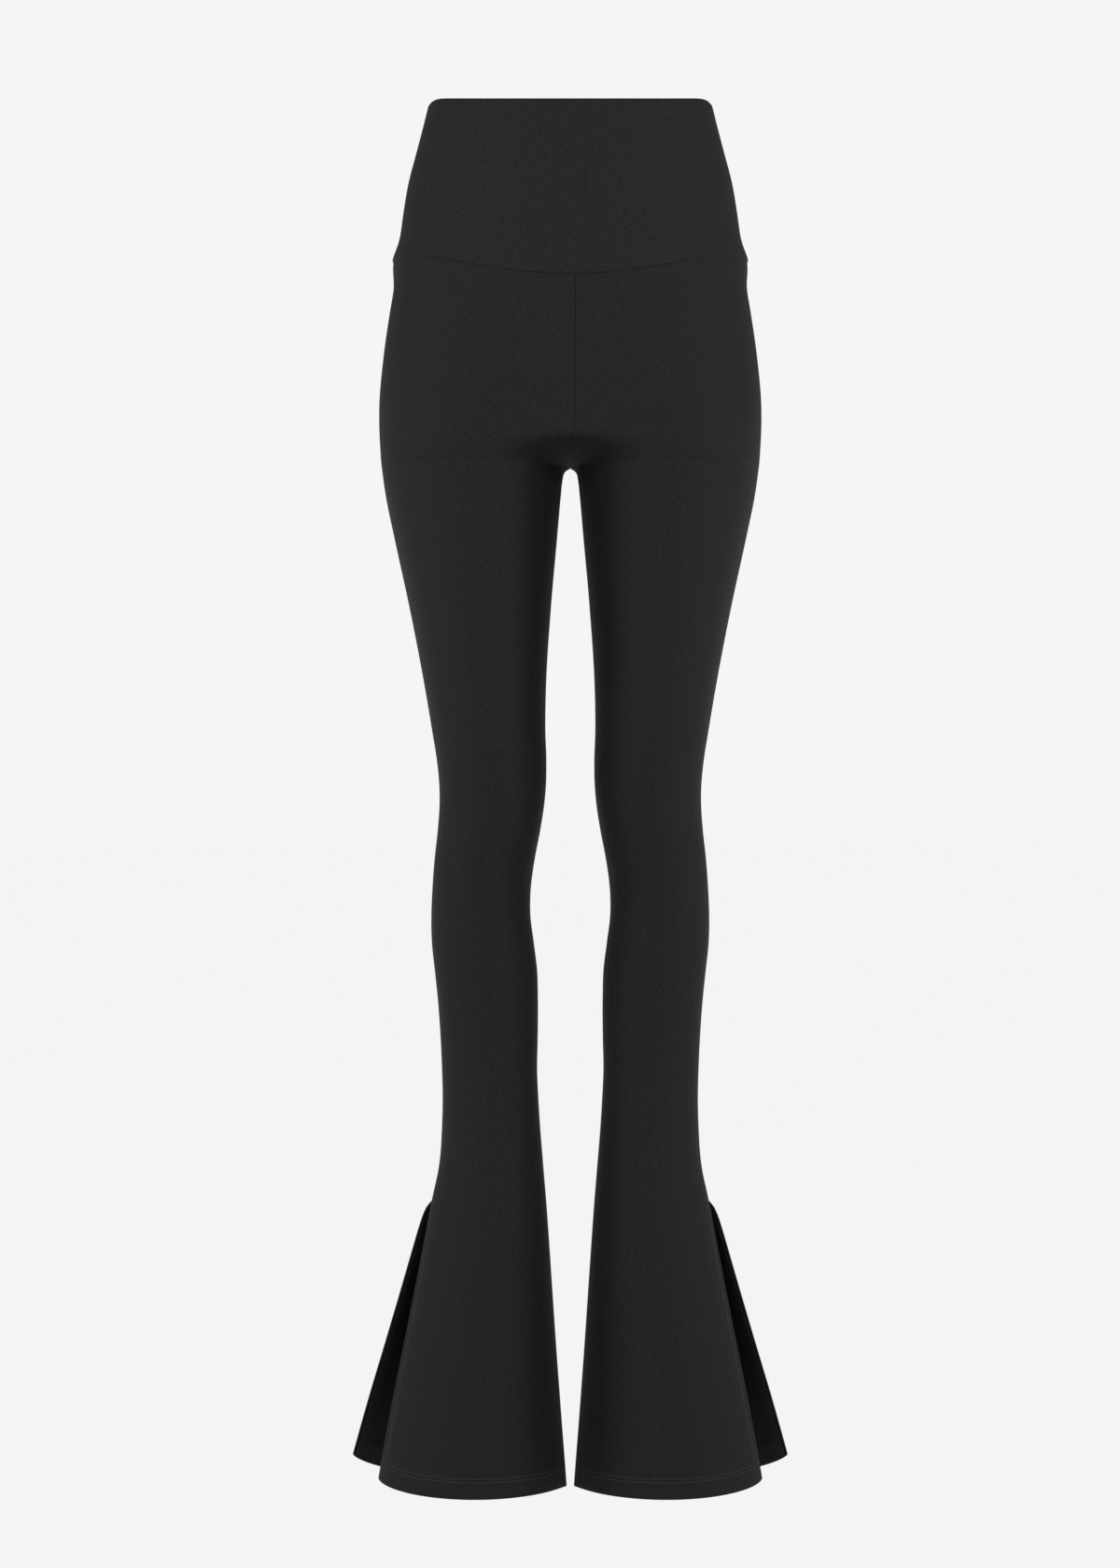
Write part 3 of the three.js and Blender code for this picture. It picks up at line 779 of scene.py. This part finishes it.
def ponte_jersey(name, dark, pale):
    """Fine brushed ponte, in two close shades."""
    material = bpy.data.materials.new(name)
    material.use_nodes = True
    tree = material.node_tree
    shader = tree.nodes["Principled BSDF"]
    streaks = cloth_noise(tree, STREAK_MM, {"Detail": 3, "Roughness": 0.65})
    fibres = cloth_noise(tree, (FIBRE_MM, FIBRE_MM), {"Detail": 2, "Roughness": 0.6})
    wales = add_node(
        tree, "ShaderNodeTexWave",
        {"wave_type": "BANDS", "bands_direction": "X", "Scale": 0.314, "Distortion": 1.2, "Detail": 1},
        Vector=cloth_place(tree, (WALE_MM, WALE_MM)),
    )
    mixed = add_node(tree, "ShaderNodeMath", {"operation": "ADD"})
    tree.links.new(streaks.outputs["Fac"], mixed.inputs[0])
    tree.links.new(fibres.outputs["Fac"], mixed.inputs[1])
    span = {"From Min": SHADE_SPAN[0], "From Max": SHADE_SPAN[1]}
    shades = add_node(tree, "ShaderNodeMapRange", span, Value=mixed.outputs["Value"])
    two_shades(tree, shades.outputs["Result"], dark, pale)
    relief = add_node(tree, "ShaderNodeMath", {"operation": "MULTIPLY_ADD"})
    tree.links.new(wales.outputs["Fac"], relief.inputs[0])
    relief.inputs[1].default_value = WALE_SHARE
    tree.links.new(fibres.outputs["Fac"], relief.inputs[2])
    bump = add_node(tree, "ShaderNodeBump", BUMP, Height=relief.outputs["Value"])
    tree.links.new(bump.outputs["Normal"], shader.inputs["Normal"])
    shader.inputs["Roughness"].default_value = 0.7
    shader.inputs["Specular IOR Level"].default_value = 0.08
    shader.inputs["Sheen Weight"].default_value = 0.1
    shader.inputs["Sheen Roughness"].default_value = 0.3
    shader.inputs["Sheen Tint"].default_value = srgb("#e6e6e6")
    return material


leg_jersey = ponte_jersey("brushed_ponte_legs", "#1b1b1b", "#2b2b2b")
band_jersey = ponte_jersey("brushed_ponte_waistband", "#1c1c1c", "#2d2d2d")
print("jerseys:", leg_jersey.name, band_jersey.name)

# %% [markdown]
# The thread is spun polyester, dyed to match. It is smoother than the cloth, and its colour is painted a shade
# lighter as painted sheen.

# %% The thread
TWIST_MM = 0.4


def thread_with_painted_sheen():
    """Spun polyester with a fine twist along its length, its colour lightened as painted sheen."""
    material = bpy.data.materials.new("spun_polyester_painted_sheen")
    material.use_nodes = True
    tree = material.node_tree
    shader = tree.nodes["Principled BSDF"]
    place = add_node(tree, "ShaderNodeTexCoord")
    settings = {"Scale": 1000 / TWIST_MM, "Detail": 1}
    twist = add_node(tree, "ShaderNodeTexNoise", settings, Vector=place.outputs["Object"])
    # Both shades are lighter than the cloth's, a painted sheen, mixed at random along the twist.
    two_shades(tree, twist.outputs["Fac"], "#303030", "#444444")
    shader.inputs["Roughness"].default_value = 0.6
    return material


thread = thread_with_painted_sheen()
for row in stitches:
    row.data.materials.append(thread)
print("rows dressed with", thread.name, len(stitches))

# %% [markdown]
# Each panel takes its jersey. Each is a flat cut of a known size, printed above, that the wearer's shape holds
# stretched. The printed area is that of the cut's outline, which is a little less than the rectangle round it.

for node, (piece, width, height, area) in cloth_pieces.items():
    piece.data.materials.append(band_jersey if node.startswith("waistband") else leg_jersey)

# %% [markdown]
# ## The studio
# The picture is a cut-out on an even pale ground. A pale floor that glows as much as the white surroundings gives
# that, and neither lights the cloth much. Two lamps in front light it, a weak one fills in from below, and two
# tall ones beside it draw the pale rims.

# %% Floor and lights
GROUND = "#f5f5f5"
FLOOR_HEIGHT = -1.32
FLOOR_SIZE = 120
FLOOR_GLOW = 0.985
AMBIENT = 0.2

deselect()
bpy.ops.mesh.primitive_plane_add(size=FLOOR_SIZE, location=(0, 0, FLOOR_HEIGHT))
floor = bpy.context.object
floor.name = "studio_floor"
floor_finish = bpy.data.materials.new("pale_floor")
floor_finish.use_nodes = True
floor_shader = floor_finish.node_tree.nodes["Principled BSDF"]
floor_shader.inputs["Base Color"].default_value = srgb("#202020")
floor_shader.inputs["Roughness"].default_value = 1
floor_shader.inputs["Specular IOR Level"].default_value = 0
floor_shader.inputs["Emission Color"].default_value = srgb(GROUND)
floor_shader.inputs["Emission Strength"].default_value = FLOOR_GLOW
floor.data.materials.append(floor_finish)
floor.visible_diffuse = False

world = bpy.data.worlds.new("white_studio")
bpy.context.scene.world = world
world.use_nodes = True
sky = world.node_tree.nodes["Background"]
sky.inputs["Color"].default_value = srgb(GROUND)
sky.inputs["Strength"].default_value = AMBIENT
seen = add_node(world.node_tree, "ShaderNodeBackground", {"Color": srgb(GROUND), "Strength": 1})
rays = add_node(world.node_tree, "ShaderNodeLightPath")
either = add_node(world.node_tree, "ShaderNodeMixShader", Fac=rays.outputs["Is Camera Ray"])
world_links = world.node_tree.links
world_links.new(sky.outputs["Background"], either.inputs[1])
world_links.new(seen.outputs["Background"], either.inputs[2])
world_links.new(either.outputs["Shader"], world.node_tree.nodes["World Output"].inputs["Surface"])


def soft_box(name, place, aim, size, watts):
    """A rectangular lamp that points at a spot."""
    deselect()
    bpy.ops.object.light_add(type="AREA", location=place)
    lamp = bpy.context.object
    lamp.name = name
    lamp.data.shape = "RECTANGLE"
    lamp.data.size = size[0]
    lamp.data.size_y = size[1]
    lamp.data.energy = watts
    lamp.rotation_euler = (Vector(aim) - Vector(place)).to_track_quat("-Z", "Y").to_euler()
    return lamp


for name, sign in (("left", 1), ("right", -1)):
    soft_box(f"{name}_side", (sign * 1.8, -0.3, -0.3), (sign * 0.1, 0, -0.4), (0.6, 1.2), 11)
for name, sign in (("left", 1), ("right", -1)):
    soft_box(f"front_{name}", (sign * 1.35, -2.45, 0.85), (0, 0, -0.5), (1.0, 1.2), 29)
soft_box("low_fill", (0, -3.2, -1.0), (0, 0, -0.7), (1.2, 0.6), 4)

scene = bpy.context.scene
scene.view_settings.view_transform = "Standard"
scene.view_settings.look = "None"
